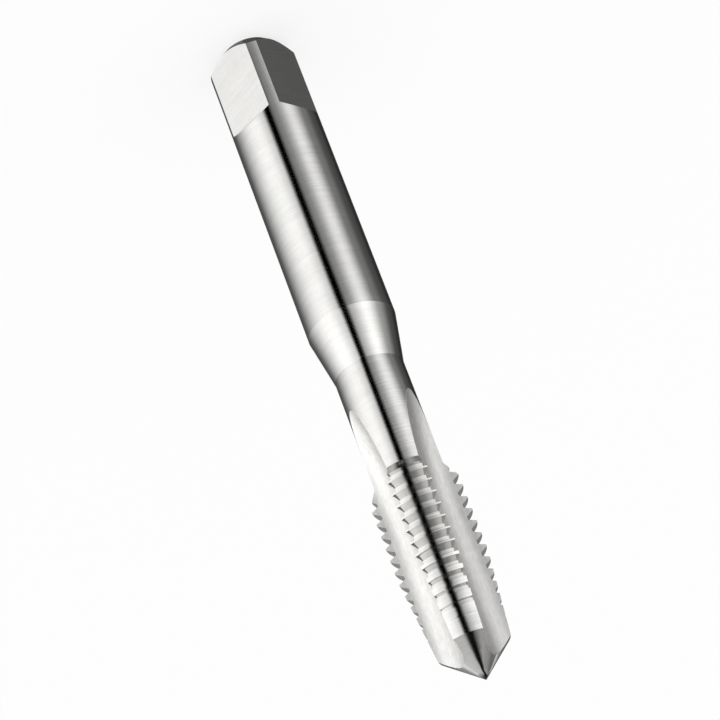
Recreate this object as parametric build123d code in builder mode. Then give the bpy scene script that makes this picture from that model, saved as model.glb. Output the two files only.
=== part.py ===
from build123d import *
import math
import os

# One-piece hand tap for an M10 thread, in millimetres. It stands on its square end,
# with its axis along +Z, its point up and the square's flats facing +-X and +-Y.

# ---- driving dimensions -------------------------------------------------------------
shank_diameter = 10.0       # plain ground shank
shank_length = 38.6         # square end to the start of the cone, square included
end_chamfer = 1.92          # 45 degree chamfer around the square end
centre_pilot = 1.6          # small centre hole in the square end
centre_mouth = 3.3
centre_depth = 3.2

square_across_flats = 7.9   # driving square that takes the wrench
square_length = 10.8        # end to the foot of the ramp that ends each flat
square_ramp = 45.0          # slope of that ramp, degrees from the axis

neck_diameter = 7.82        # relieved neck behind the thread
cone_length = 6.14          # blend from the shank down to the neck
neck_length = 13.12

thread_diameter = 10.06
thread_pitch = 1.5
thread_length = 21.2        # back of the thread to the root of the point
thread_back_slope = 30.0    # bevel at the back of the thread, degrees from the axis
thread_phase = 0.43         # axial shift of the groove, within one pitch
lead_length = 9.95          # tapered lead over the last turns
lead_angle = 5.76           # degrees from the axis
point_half_angle = 45.8     # male centre at the cutting end

flute_count = 3
flute_radius = 2.83         # round flute section
web_radius = 2.0            # solid metal left in the middle between the flutes
flute_roll = 55.2           # turn of the flutes against the square, degrees
full_flute_length = 18.7    # from the point back to where the flute starts to run out
wheel_radius = 60.0         # arc on which each flute runs out into the neck

# ---- stations along the axis, from the square end -----------------------------------
shank_radius = shank_diameter / 2
neck_radius = neck_diameter / 2
thread_radius = thread_diameter / 2
neck_start = shank_length + cone_length
thread_start = neck_start + neck_length
back_rise = (thread_radius - neck_radius) / math.tan(math.radians(thread_back_slope))
point_start = thread_start + thread_length
lead_start = point_start - lead_length
point_radius = thread_radius - lead_length * math.tan(math.radians(lead_angle))
overall_length = point_start + point_radius / math.tan(math.radians(point_half_angle))
runout_start = overall_length - full_flute_length

# ---- thread form: 60 degrees, root flat a quarter pitch, crest flat an eighth -------
flank_slope = math.tan(math.radians(30.0))
root_half = thread_pitch / 8
thread_depth = (thread_pitch * 7 / 16 - root_half) / flank_slope
root_radius = thread_radius - thread_depth
mouth_radius = thread_radius + thread_pitch / 12    # the cutter reaches past the crest
mouth_half = root_half + (mouth_radius - root_radius) * flank_slope

# ---- one turn's groove across one land: a short piece of the right-hand helix -------
land_step = 360 / flute_count
groove_arc = 0.8 * land_step                        # from flute to flute over a land
with BuildPart() as groove_cutter:
    with BuildLine():
        Helix(thread_pitch, thread_pitch * groove_arc / 360, root_radius)
    with BuildSketch(Plane.XZ):
        with BuildLine():
            Polyline(
                (root_radius, -root_half),
                (root_radius, root_half),
                (mouth_radius, mouth_half),
                (mouth_radius, -mouth_half),
                close=True,
            )
        make_face()
    sweep(is_frenet=True)

# where that groove lies: every land, every turn, rising one pitch per full turn
groove_places = []
for land in range(flute_count):
    start_angle = (flute_roll + (land + 0.5) * land_step) % 360 - groove_arc / 2
    station = thread_start - thread_pitch + thread_phase + thread_pitch * start_angle / 360
    while station < point_start:
        if station > thread_start:
            groove_places.append(Location((0, 0, station), (0, 0, start_angle)))
        station += thread_pitch

# ---- one flute: straight and round, then up the wheel's arc into the neck -----------
wheel_rise = shank_radius + 1 - web_radius
wheel_arc = math.degrees(math.acos(1 - wheel_rise / wheel_radius))
wheel_axis = Axis((web_radius + wheel_radius, 0, runout_start), (0, -1, 0))
with BuildPart() as flute_cutter:
    with BuildSketch(Plane.XY.offset(runout_start)) as flute_section:
        with Locations((web_radius + flute_radius, 0)):
            Circle(flute_radius)
    extrude(amount=full_flute_length + 1)
    revolve(flute_section.sketch, axis=wheel_axis, revolution_arc=wheel_arc)

# ---- one flat of the square, with the ramp up to the shank that ends it -------------
half_square = square_across_flats / 2
ramp_rise = shank_radius - half_square + 1
ramp_run = ramp_rise / math.tan(math.radians(square_ramp))
with BuildPart() as flat_cutter:
    with BuildSketch(Plane.XZ):
        with BuildLine():
            Polyline(
                (half_square, -1),
                (half_square, square_length),
                (half_square + ramp_rise, square_length + ramp_run),
                (half_square + ramp_rise, -1),
                close=True,
            )
        make_face()
    extrude(amount=shank_radius, both=True)

with BuildPart() as thread_tap:
    # turned blank: shank, cone, neck, bevel, thread stock, tapered lead, point
    with BuildSketch(Plane.XZ):
        with BuildLine():
            Polyline(
                (0, 0),
                (shank_radius - end_chamfer, 0),
                (shank_radius, end_chamfer),
                (shank_radius, shank_length),
                (neck_radius, neck_start),
                (neck_radius, thread_start),
                (thread_radius, thread_start + back_rise),
                (thread_radius, lead_start),
                (point_radius, point_start),
                (0, overall_length),
                close=True,
            )
        make_face()
    revolve(axis=Axis.Z)

    # driving square, its corners left at the shank's own radius
    with PolarLocations(0, 4):
        add(flat_cutter.part, mode=Mode.SUBTRACT)

    # centre hole in the square end: 60 degree mouth over a small pilot
    with BuildSketch(Plane.XZ):
        with BuildLine():
            Polyline(
                (0, 0),
                (centre_mouth / 2, 0),
                (centre_pilot / 2, (centre_mouth - centre_pilot) / 2 / flank_slope),
                (centre_pilot / 2, centre_depth),
                (0, centre_depth + centre_pilot / 4),
                close=True,
            )
        make_face()
    revolve(axis=Axis.Z, mode=Mode.SUBTRACT)

    # flutes, then the thread on the lands they leave
    with PolarLocations(0, flute_count, start_angle=flute_roll):
        add(flute_cutter.part, mode=Mode.SUBTRACT)
    with Locations(*groove_places):
        add(groove_cutter.part, mode=Mode.SUBTRACT)

thread_tap.part.label = "thread_tap"
os.makedirs("parts", exist_ok=True)
export_step(thread_tap.part, "parts/thread_tap.step")
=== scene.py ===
import math

import bpy
from mathutils import Matrix, Vector


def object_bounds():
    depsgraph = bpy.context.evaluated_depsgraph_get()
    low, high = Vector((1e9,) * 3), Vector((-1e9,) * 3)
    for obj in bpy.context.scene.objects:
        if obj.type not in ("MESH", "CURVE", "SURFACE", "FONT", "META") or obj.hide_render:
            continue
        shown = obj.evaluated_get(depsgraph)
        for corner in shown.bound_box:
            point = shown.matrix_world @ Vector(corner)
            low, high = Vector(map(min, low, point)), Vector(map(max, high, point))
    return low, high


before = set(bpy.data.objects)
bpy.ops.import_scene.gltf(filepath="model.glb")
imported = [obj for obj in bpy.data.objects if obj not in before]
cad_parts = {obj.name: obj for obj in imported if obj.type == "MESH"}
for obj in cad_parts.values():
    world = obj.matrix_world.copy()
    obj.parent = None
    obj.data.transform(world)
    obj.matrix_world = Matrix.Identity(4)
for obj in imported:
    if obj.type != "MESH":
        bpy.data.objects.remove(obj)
cad_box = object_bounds()

MM = 1000.0  # millimetres in a metre

# The tap's own sizes, in millimetres, which say where each finish begins and ends
SHANK_LENGTH = 38.6    # square end to the start of the cone
SHANK_RADIUS = 5.0
SQUARE_LENGTH = 10.8   # square end to the foot of the slope that ends each flat
SQUARE_HALF = 7.9 / 2  # axis to each flat
FLUTE_COUNT = 3
FLUTE_RADIUS = 2.83
FLUTE_ROLL = math.radians(55.2)  # turn of the flutes against the square
WEB_RADIUS = 2.0       # solid metal left between the flutes
WHEEL_RADIUS = 60.0    # arc on which each flute runs out
FULL_FLUTE = 18.7      # point back to where the flutes start to run out
RUNOUT_HEIGHT = cad_box[1][2] * MM - FULL_FLUTE
FLUTE_MARGIN = 0.03    # how far a facet may stand off the true surface
FLAT_MARGIN = 0.02
SLOPE_MARGIN = 0.05

# Camera, in the tap's frame, in metres
VIEW_FROM = Vector((-0.18134279, -0.25143798, 0.21513167))
VIEW_RIGHT = Vector((-0.65594634, 0.68787127, 0.31075315))
VIEW_UP = Vector((-0.55440731, -0.1596867, -0.81678191))
LENS_MM = 163.78
SENSOR_MM = 36.0
NEAREST = 0.01

# Soft boxes around the tap. Each has a level by direction (degrees from the front, positive to the
# right) times a level by height (degrees above level), as corners with eased edges between them.
FRONT = math.radians(234.2)  # the direction from the tap that counts as the front
LEFT_WALL = (
    ((-180, 0.1), (-150, 0.1), (-52, 1.4), (-46, 1.4), (-6, 0.8), (0, 0.0), (180, 0.0)),
    ((-90, 0.05), (-60, 0.85), (-36, 0.9), (-9, 1.0), (8, 1.2), (28, 1.15), (42, 0.48), (90, 0.4)),
)
RIGHT_WALL = (
    (
        (-180, 0.0), (0, 0.0), (4, 0.3), (14, 0.3), (50, 1.05), (88, 0.24), (118, 0.09), (150, 0.03),
        (180, 0.1),
    ),
    (
        (-90, 0.05), (-50, 0.1), (-36, 0.95), (-8, 1.0), (6, 0.3), (36, 0.3), (49, 0.65), (60, 0.4),
        (90, 0.4),
    ),
)
RIGHT_BOX = (
    ((-180, 0.0), (-4, 0.0), (24, 0.35), (34, 0.35), (120, 0.0), (180, 0.0)),
    ((-90, 0.0), (-31, 0.0), (-18, 1.9), (-11, 1.0), (-4, 1.0), (10, 0.0), (90, 0.0)),
)
LEFT_BOX = (
    ((-180, 0.0), (-148, 0.0), (-112, 0.8), (-92, 0.8), (-46, 0.0), (180, 0.0)),
    ((-90, 0.0), (-14, 0.0), (0, 1.0), (8, 1.0), (72, 0.0), (90, 0.0)),
)
BACK_BOX = (
    ((-180, 1.0), (-150, 1.0), (-120, 0.0), (120, 0.0), (150, 1.0), (180, 1.0)),
    ((-90, 0.0), (-16, 0.0), (-2, 0.2), (35, 0.2), (60, 0.0), (90, 0.0)),
)
FRONT_BOX = (  # one box low and one just above level
    ((-180, 0.0), (-14, 0.0), (2, 1.0), (34, 1.0), (52, 0.0), (180, 0.0)),
    (
        (-90, 0.0), (-74, 0.0), (-62, 0.9), (-44, 0.9), (-38, 0.0), (-2, 0.0), (5, 1.1), (30, 1.1),
        (42, 0.0), (90, 0.0),
    ),
)
FAR_BOX = (  # strong near level and weak overhead
    ((-180, 0.0), (60, 0.0), (90, 1.0), (135, 1.0), (160, 0.0), (180, 0.0)),
    (
        (-90, 0.0), (-4, 0.0), (2, 0.7), (13, 0.7), (20, 0.15), (50, 0.15), (60, 0.3), (78, 0.3),
        (90, 0.1),
    ),
)
LOW_BOX = (
    ((-180, 1.0), (-110, 1.0), (-30, 0.0), (30, 0.0), (110, 1.0), (180, 1.0)),
    ((-90, 0.0), (-78, 0.07), (-52, 0.07), (-42, 0.0), (90, 0.0)),
)
SOFT_BOXES = (LEFT_WALL, RIGHT_WALL, RIGHT_BOX, LEFT_BOX, BACK_BOX, FRONT_BOX, FAR_BOX, LOW_BOX)
UNDER_LIGHT = ((-90, 0.5), (-62, 0.0), (90, 0.0))  # faint light from straight below, by height

# The dark gap between the two walls, by sideways direction from -1 to 1
GAP = ((-1.0, 1.0), (-0.28, 1.0), (-0.12, 0.0), (0.0, 0.0), (0.21, 1.0), (1.0, 1.0))
GAP_BACK = (-0.45, -0.2)              # forward direction at which the gap fades in from the back
GAP_NARROWS = (0.6, 0.9, 1.0, 0.88)   # upward direction from, to, and the width before and after
LEAN_ZERO = 0.05                      # ramps hold no negative level, so this is added to LEAN
LEAN = (                              # sideways shift of the gap plus LEAN_ZERO, by height
    (-90, 0.046), (-31, 0.046), (-28.6, 0.08), (-25.5, 0.015), (-18, 0.0), (-9, 0.08), (65, 0.155),
    (90, 0.155),
)
BRIDGE = (                            # how much light crosses the gap, by height
    (-90, 0.0), (-76, 0.0), (-64, 1.0), (-47, 1.0), (-39, 0.0), (-3, 0.0), (7, 0.8), (42, 0.8),
    (52, 0.05), (78, 0.05), (90, 0.0),
)

# Floor
FLOOR_HALF = 1.5
FLOOR_GREY = 0.96
FLOOR_ROUGHNESS = 0.9
FLOOR_GLOW = 0.7     # share of plain white that the camera sees, so that the shadow stays faint

# Ground steel. Pairs are (round the axis and on the flats, inside the flutes)
STEEL_TINT = (0.725, 0.72, 0.705)
# Inside the flutes the grey is 11 percent lighter, partly for their frostier grind and partly as painted
# light that brightens the flutes
BRIGHTNESS_WITH_PAINTED_FLUTE_LIGHT = (1.0, 1.11)
ROUGHNESS = (0.085, 0.5)
STREAK_CONTRAST = (0.4, 0.5)
SPECK_CONTRAST = (0.1, 0.3)
ROUND_MARKS = {"Fine": 5.0, "Coarse": 1.1}
FLUTE_MARKS = {"Fine": 6.0, "Coarse": 1.3}
ROUND_STRETCH = 0.05      # how slowly the round strokes change across the axis
ROUND_SPREAD = -0.5       # shifts the strokes with the radius, for the cone and the end faces
FLUTE_STRETCH = 0.03      # how slowly the flutes' strokes change lengthwise
SLANT = -0.18             # slope of the strokes on the flats
SLANT_SCALE = 0.45
CLOUD_SCALE = 0.35
CLOUD_SHADE = (0.1, 0.95)  # gain and base of the cloud's shading
CLOUD_ROUGHNESS = 0.06
GRAIN_SCALE = 3.5
GRAIN_STRETCH = (1.0, 1.0, 0.4)
MARK_DEPTH = 0.000005     # metres
COARSE_HEIGHT = 0.6       # share of the coarse strokes beside the fine ones' 1
FINE_TONE = 0.6           # shares of the fine and the coarse strokes in the tone
COARSE_TONE = 0.4


class Board:
    """Places shader nodes and wires them, so that a sum reads as one line."""

    def __init__(self, tree):
        self.nodes = tree.nodes
        self.links = tree.links

    def put(self, socket, value):
        if isinstance(value, bpy.types.NodeSocket):
            self.links.new(value, socket)
        else:
            socket.default_value = value

    def math(self, operation, *values):
        node = self.nodes.new("ShaderNodeMath")
        node.operation = operation
        for socket, value in zip(node.inputs, values):
            self.put(socket, value)
        return node.outputs[0]

    def vector(self, operation, *values):
        node = self.nodes.new("ShaderNodeVectorMath")
        node.operation = operation
        for socket, value in zip(node.inputs, values):
            self.put(socket, value)
        return node.outputs["Value" if operation == "DOT_PRODUCT" else "Vector"]

    def split(self, vector):
        node = self.nodes.new("ShaderNodeSeparateXYZ")
        self.put(node.inputs[0], vector)
        return node.outputs

    def length(self, a, b):
        """Length of the long side of a right triangle."""
        squares = [self.math("MULTIPLY", side, side) for side in (a, b)]
        return self.math("SQRT", self.math("ADD", *squares))

    def noise(self, place, scale, detail, roughness=0.5):
        node = self.nodes.new("ShaderNodeTexNoise")
        settings = {"Vector": place, "Scale": scale, "Detail": detail, "Roughness": roughness}
        for label, value in settings.items():
            self.put(node.inputs[label], value)
        return node.outputs["Fac"]

    def ramp(self, value, lowest, highest, corners):
        """A level read off (place, level) corners, with eased edges between them."""
        node = self.nodes.new("ShaderNodeValToRGB")
        node.color_ramp.interpolation = "EASE"
        marks = node.color_ramp.elements
        marks.remove(marks[1])
        reach = highest - lowest
        for index, (place, level) in enumerate(corners):
            spot = (place - lowest) / reach
            mark = marks[0] if index == 0 else marks.new(spot)
            mark.position = spot
            mark.color = (level, level, level, 1.0)
        self.put(node.inputs[0], self.math("MULTIPLY_ADD", value, 1 / reach, -lowest / reach))
        return node.outputs[0]

    def span(self, value, start, end, low=0.0, high=1.0):
        """Smooth step from low at start to high at end."""
        node = self.nodes.new("ShaderNodeMapRange")
        node.interpolation_type = "SMOOTHSTEP"
        for socket, given in zip(node.inputs, (value, start, end, low, high)):
            self.put(socket, given)
        return node.outputs[0]

    def mix(self, factor, a, b):
        node = self.nodes.new("ShaderNodeMix")
        node.data_type = "FLOAT"
        for socket, given in zip((node.inputs[0], node.inputs[2], node.inputs[3]), (factor, a, b)):
            self.put(socket, given)
        return node.outputs[0]

    def use(self, group, **values):
        """Places a node group and gives its outputs."""
        node = self.nodes.new("ShaderNodeGroup")
        node.node_tree = group
        for label, value in values.items():
            self.put(node.inputs[label], value)
        return node.outputs


def aim_camera():
    data = bpy.data.cameras.new("camera")
    data.sensor_width = SENSOR_MM
    data.lens = LENS_MM
    data.clip_start = NEAREST
    camera = bpy.data.objects.new("camera", data)
    bpy.context.collection.objects.link(camera)
    back = VIEW_RIGHT.cross(VIEW_UP).normalized()
    turn = Matrix((VIEW_RIGHT, VIEW_UP, back)).transposed().to_4x4()
    camera.matrix_world = Matrix.Translation(VIEW_FROM) @ turn
    bpy.context.scene.camera = camera


def dark_gap(board, ahead, aside, up, height):
    """1 in the light and 0 in the dark gap between the two walls, which fades out at the back."""
    lean = board.math("SUBTRACT", board.ramp(height, -90, 90, LEAN), LEAN_ZERO)
    across = board.math("MULTIPLY", board.math("SUBTRACT", aside, lean), board.span(up, *GAP_NARROWS))
    gap = board.ramp(across, -1.0, 1.0, GAP)
    gap = board.mix(board.span(ahead, *GAP_BACK), 1.0, gap)
    return board.math("MAXIMUM", gap, board.ramp(height, -90, 90, BRIDGE))


def light_studio():
    """Plain white all round, with soft boxes that only reflections see."""
    world = bpy.data.worlds.new("studio")
    bpy.context.scene.world = world
    world.use_nodes = True
    world.cycles.sampling_method = "NONE"
    board = Board(world.node_tree)
    place = board.nodes.new("ShaderNodeTexCoord").outputs["Generated"]
    ahead = board.vector("DOT_PRODUCT", place, (math.cos(FRONT), math.sin(FRONT), 0.0))
    aside = board.vector("DOT_PRODUCT", place, (math.sin(FRONT), -math.cos(FRONT), 0.0))
    up = board.vector("DOT_PRODUCT", place, (0.0, 0.0, 1.0))
    degrees = 180 / math.pi
    turn = board.math("MULTIPLY", board.math("ARCTAN2", aside, ahead), degrees)
    height = board.math("MULTIPLY", board.math("ARCSINE", up), degrees)
    level = board.ramp(height, -90, 90, UNDER_LIGHT)
    for by_turn, by_height in SOFT_BOXES:
        around = board.ramp(turn, -180, 180, by_turn)
        box = board.math("MULTIPLY", around, board.ramp(height, -90, 90, by_height))
        level = board.math("ADD", level, box)
    level = board.math("MULTIPLY", level, dark_gap(board, ahead, aside, up, height))
    path = board.nodes.new("ShaderNodeLightPath")
    level = board.mix(path.outputs["Is Glossy Ray"], 1.0, level)
    board.put(board.nodes["Background"].inputs["Color"], level)


def pale_floor_paint():
    paint = bpy.data.materials.new("pale_floor")
    paint.use_nodes = True
    board = Board(paint.node_tree)
    shader = board.nodes["Principled BSDF"]
    shader.inputs["Base Color"].default_value = (FLOOR_GREY, FLOOR_GREY, FLOOR_GREY, 1)
    shader.inputs["Roughness"].default_value = FLOOR_ROUGHNESS
    shader.inputs["Specular IOR Level"].default_value = 0.0
    glow = board.nodes.new("ShaderNodeEmission")
    both = board.nodes.new("ShaderNodeMixShader")
    path = board.nodes.new("ShaderNodeLightPath")
    board.put(both.inputs[0], board.math("MULTIPLY", path.outputs["Is Camera Ray"], FLOOR_GLOW))
    board.put(both.inputs[1], shader.outputs[0])
    board.put(both.inputs[2], glow.outputs[0])
    board.put(board.nodes["Material Output"].inputs["Surface"], both.outputs[0])
    return paint


def lay_floor():
    half = FLOOR_HALF
    corners = [(-half, -half, 0), (half, -half, 0), (half, half, 0), (-half, half, 0)]
    mesh = bpy.data.meshes.new("floor")
    mesh.from_pydata(corners, [], [(0, 1, 2, 3)])
    mesh.materials.append(pale_floor_paint())
    floor = bpy.data.objects.new("floor", mesh)
    bpy.context.collection.objects.link(floor)
    floor.visible_glossy = False


def new_group(name, inputs, outputs):
    """An empty node group, its board, what it is given and where its results go."""
    group = bpy.data.node_groups.new(name, "ShaderNodeTree")
    for label, kind, value in inputs:
        socket = group.interface.new_socket(name=label, in_out="INPUT", socket_type=kind)
        if value is not None:
            socket.default_value = value
    for label in outputs:
        group.interface.new_socket(name=label, in_out="OUTPUT", socket_type="NodeSocketFloat")
    board = Board(group)
    return group, board, board.nodes.new("NodeGroupInput").outputs, board.nodes.new("NodeGroupOutput").inputs


def grinding_marks():
    """Streaks left by a wheel: rapid change across the strokes, slow change along them."""
    group, board, given, out = new_group(
        "grinding_marks",
        (
            ("Place", "NodeSocketVector", None),
            ("Fine", "NodeSocketFloat", ROUND_MARKS["Fine"]),
            ("Coarse", "NodeSocketFloat", ROUND_MARKS["Coarse"]),
        ),
        ("Height", "Tone"),
    )
    fine = board.noise(given["Place"], given["Fine"], detail=4.0, roughness=0.65)
    coarse = board.noise(given["Place"], given["Coarse"], detail=3.0)
    board.put(out["Height"], board.math("MULTIPLY_ADD", coarse, COARSE_HEIGHT, fine))
    coarse_tone = board.math("MULTIPLY", coarse, COARSE_TONE)
    board.put(out["Tone"], board.math("MULTIPLY_ADD", fine, FINE_TONE, coarse_tone))
    return group


def flute_cut():
    """1 inside the ground flutes and their run-outs, 0 on everything turned or threaded."""
    group, board, given, out = new_group("flute_cut", (("Place", "NodeSocketVector", None),), ("Mask",))
    x, y, z = board.split(given["Place"])
    # Fold the flutes onto one, then measure inward from the axis to it and across it
    radius = board.length(x, y)
    step = 2 * math.pi / FLUTE_COUNT
    turn = board.math("SUBTRACT", board.math("ARCTAN2", y, x), FLUTE_ROLL - step / 2)
    turn = board.math("SUBTRACT", board.math("FLOORED_MODULO", turn, step), step / 2)
    inward = board.math("MULTIPLY", radius, board.math("COSINE", turn))
    across = board.math("MULTIPLY", radius, board.math("SINE", turn))
    # The cutter's centre keeps to a straight line above the run-out and to the wheel's arc below it
    below = board.math("MAXIMUM", board.math("SUBTRACT", RUNOUT_HEIGHT, z), 0.0)
    run = board.math("SUBTRACT", WEB_RADIUS + WHEEL_RADIUS, inward)
    off = board.math("SUBTRACT", board.length(run, below), WHEEL_RADIUS - FLUTE_RADIUS)
    inside = board.math("LESS_THAN", board.length(off, across), FLUTE_RADIUS + FLUTE_MARGIN)
    above = board.math("GREATER_THAN", z, SHANK_LENGTH)
    board.put(out["Mask"], board.math("MULTIPLY", inside, above))
    return group


def flat_cut():
    """1 on the four flats of the driving square and the slopes that end them."""
    group, board, given, out = new_group("flat_cut", (("Place", "NodeSocketVector", None),), ("Mask",))
    x, y, z = board.split(board.vector("ABSOLUTE", given["Place"]))
    slope = board.math("MAXIMUM", board.math("SUBTRACT", z, SQUARE_LENGTH), 0.0)
    off = board.math("SUBTRACT", board.math("MAXIMUM", x, y), slope)
    on_flat = board.math("COMPARE", off, SQUARE_HALF, FLAT_MARGIN)
    slope_top = SQUARE_LENGTH + SHANK_RADIUS - SQUARE_HALF + SLOPE_MARGIN
    board.put(out["Mask"], board.math("MULTIPLY", on_flat, board.math("LESS_THAN", z, slope_top)))
    return group


def steel_streaks(board, place, flute):
    """Height and tone of the grinding strokes, whichever way they run."""
    marks = grinding_marks()
    x, y, z = board.split(place)
    # Strokes that run around the axis, and straight ones aslant on the square's flats
    slant = board.math("MULTIPLY_ADD", board.math("SUBTRACT", x, y), SLANT, z)
    slant = board.math("MULTIPLY", slant, SLANT_SCALE)
    rings = board.math("MULTIPLY_ADD", board.length(x, y), ROUND_SPREAD, z)
    strokes = board.nodes.new("ShaderNodeCombineXYZ")
    board.put(strokes.inputs[0], board.math("MULTIPLY", x, ROUND_STRETCH))
    board.put(strokes.inputs[1], board.math("MULTIPLY", y, ROUND_STRETCH))
    board.put(strokes.inputs[2], board.mix(board.use(flat_cut(), Place=place)["Mask"], rings, slant))
    around = board.use(marks, Place=strokes.outputs[0], **ROUND_MARKS)
    # Strokes that run along the flutes
    lengthwise = board.vector("MULTIPLY", place, (1.0, 1.0, FLUTE_STRETCH))
    along = board.use(marks, Place=lengthwise, **FLUTE_MARKS)
    return [board.mix(flute, around[label], along[label]) for label in ("Height", "Tone")]


def ground_steel():
    """Hardened steel, ground all over: round strokes on what turned, lengthwise strokes in the flutes."""
    steel = bpy.data.materials.new("ground_steel")
    steel.use_nodes = True
    board = Board(steel.node_tree)
    shader = board.nodes["Principled BSDF"]
    metres = board.nodes.new("ShaderNodeTexCoord").outputs["Object"]
    place = board.vector("MULTIPLY", metres, (MM, MM, MM))
    flute = board.use(flute_cut(), Place=place)["Mask"]
    height, tone = steel_streaks(board, place, flute)
    # Slow unevenness from handling and oil, and fine grain
    cloud = board.noise(place, CLOUD_SCALE, detail=5.0)
    grain = board.noise(board.vector("MULTIPLY", place, GRAIN_STRETCH), GRAIN_SCALE, detail=2.0)
    # Colour: one grey, lighter and darker with the strokes, the cloud and the grain, and lighter inside the
    # flutes, partly for their frostier grind and partly as painted light
    streak = board.math("SUBTRACT", tone, 0.5)
    contrast = board.mix(flute, *STREAK_CONTRAST)
    shade = board.math("MULTIPLY_ADD", streak, contrast, board.mix(flute, *BRIGHTNESS_WITH_PAINTED_FLUTE_LIGHT))
    shade = board.math("MULTIPLY", shade, board.math("MULTIPLY_ADD", cloud, *CLOUD_SHADE))
    speck = board.math("MULTIPLY", board.math("SUBTRACT", grain, 0.5), board.mix(flute, *SPECK_CONTRAST))
    shade = board.math("ADD", shade, speck)
    grey = board.nodes.new("ShaderNodeCombineColor")
    for socket, tint in zip(grey.inputs, STEEL_TINT):
        board.put(socket, board.math("MULTIPLY", shade, tint))
    board.put(shader.inputs["Base Color"], grey.outputs[0])
    # Gloss and relief
    uneven = board.math("MULTIPLY", board.math("SUBTRACT", cloud, 0.5), CLOUD_ROUGHNESS)
    board.put(shader.inputs["Roughness"], board.math("ADD", board.mix(flute, *ROUGHNESS), uneven))
    shader.inputs["Metallic"].default_value = 1.0
    bump = board.nodes.new("ShaderNodeBump")
    bump.inputs["Strength"].default_value = 1.0
    bump.inputs["Distance"].default_value = MARK_DEPTH
    board.put(bump.inputs["Height"], height)
    board.put(shader.inputs["Normal"], bump.outputs[0])
    return steel


aim_camera()
light_studio()
lay_floor()
finish = ground_steel()
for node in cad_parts.values():
    node.data.materials.clear()
    node.data.materials.append(finish)

bpy.context.scene.view_settings.view_transform = "Standard"
